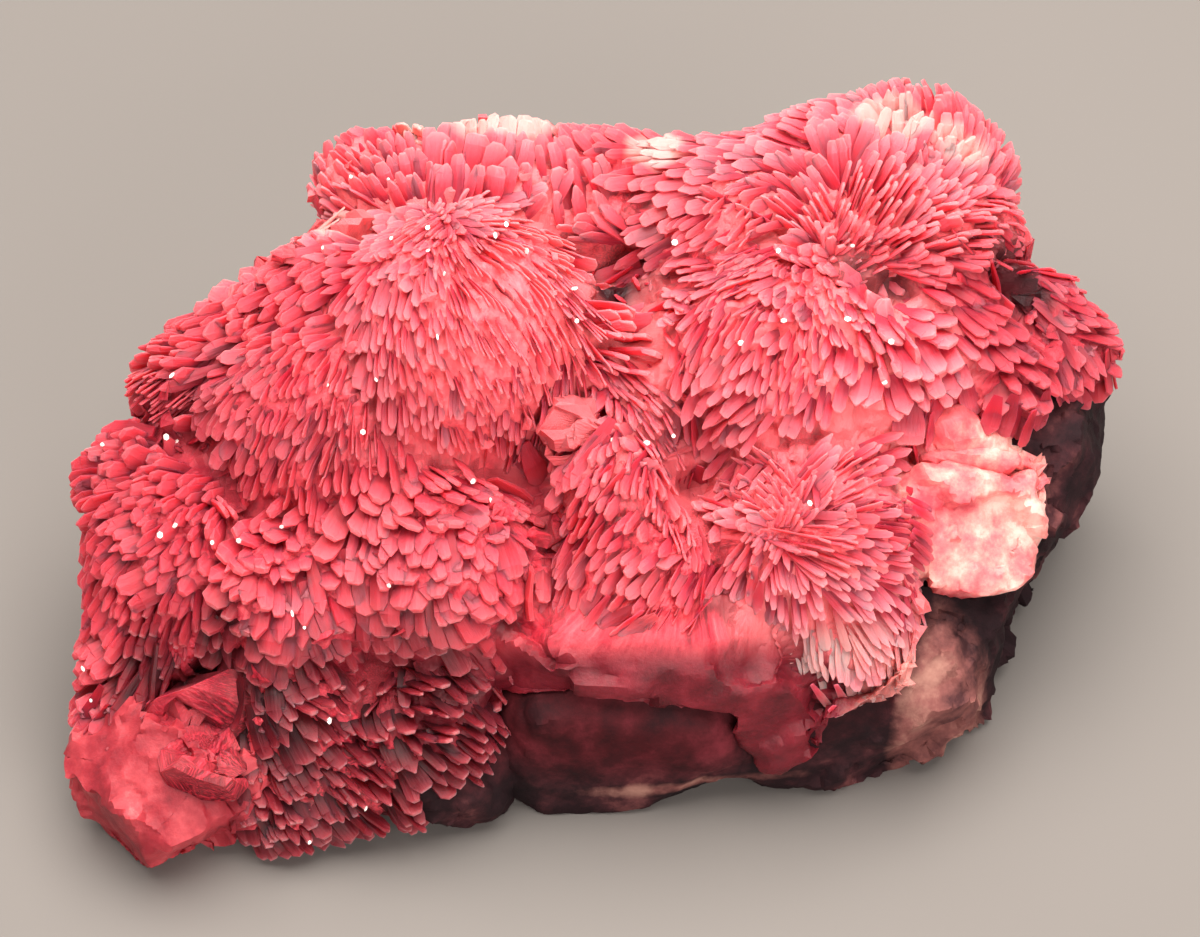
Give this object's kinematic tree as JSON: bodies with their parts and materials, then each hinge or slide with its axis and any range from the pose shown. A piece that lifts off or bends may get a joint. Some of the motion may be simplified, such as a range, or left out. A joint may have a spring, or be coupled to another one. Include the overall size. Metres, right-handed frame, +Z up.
{
  "type": "rhodonite nodule",
  "caption": "Rough mineral lump: radiating sprays of bladed pink-red rhodonite crystals crusted over dark manganese rock.",
  "frame": {"origin": "middle of the box's underside, on the flat that the lump rests on", "axes": "+Z up as it rests, +X to the right as one faces the crystal side, +Y away from the viewer, into the specimen"},
  "size_m": [0.1205, 0.079, 0.0544],
  "materials": {
    "manganese_rock": "rough, broken, dull",
    "rhodonite": "vitreous crystal faces"
  },
  "bodies": {
    "root": {"matrix_rock": "manganese_rock", "rhodonite_crystals": "rhodonite"}
  },
  "joints": []
}
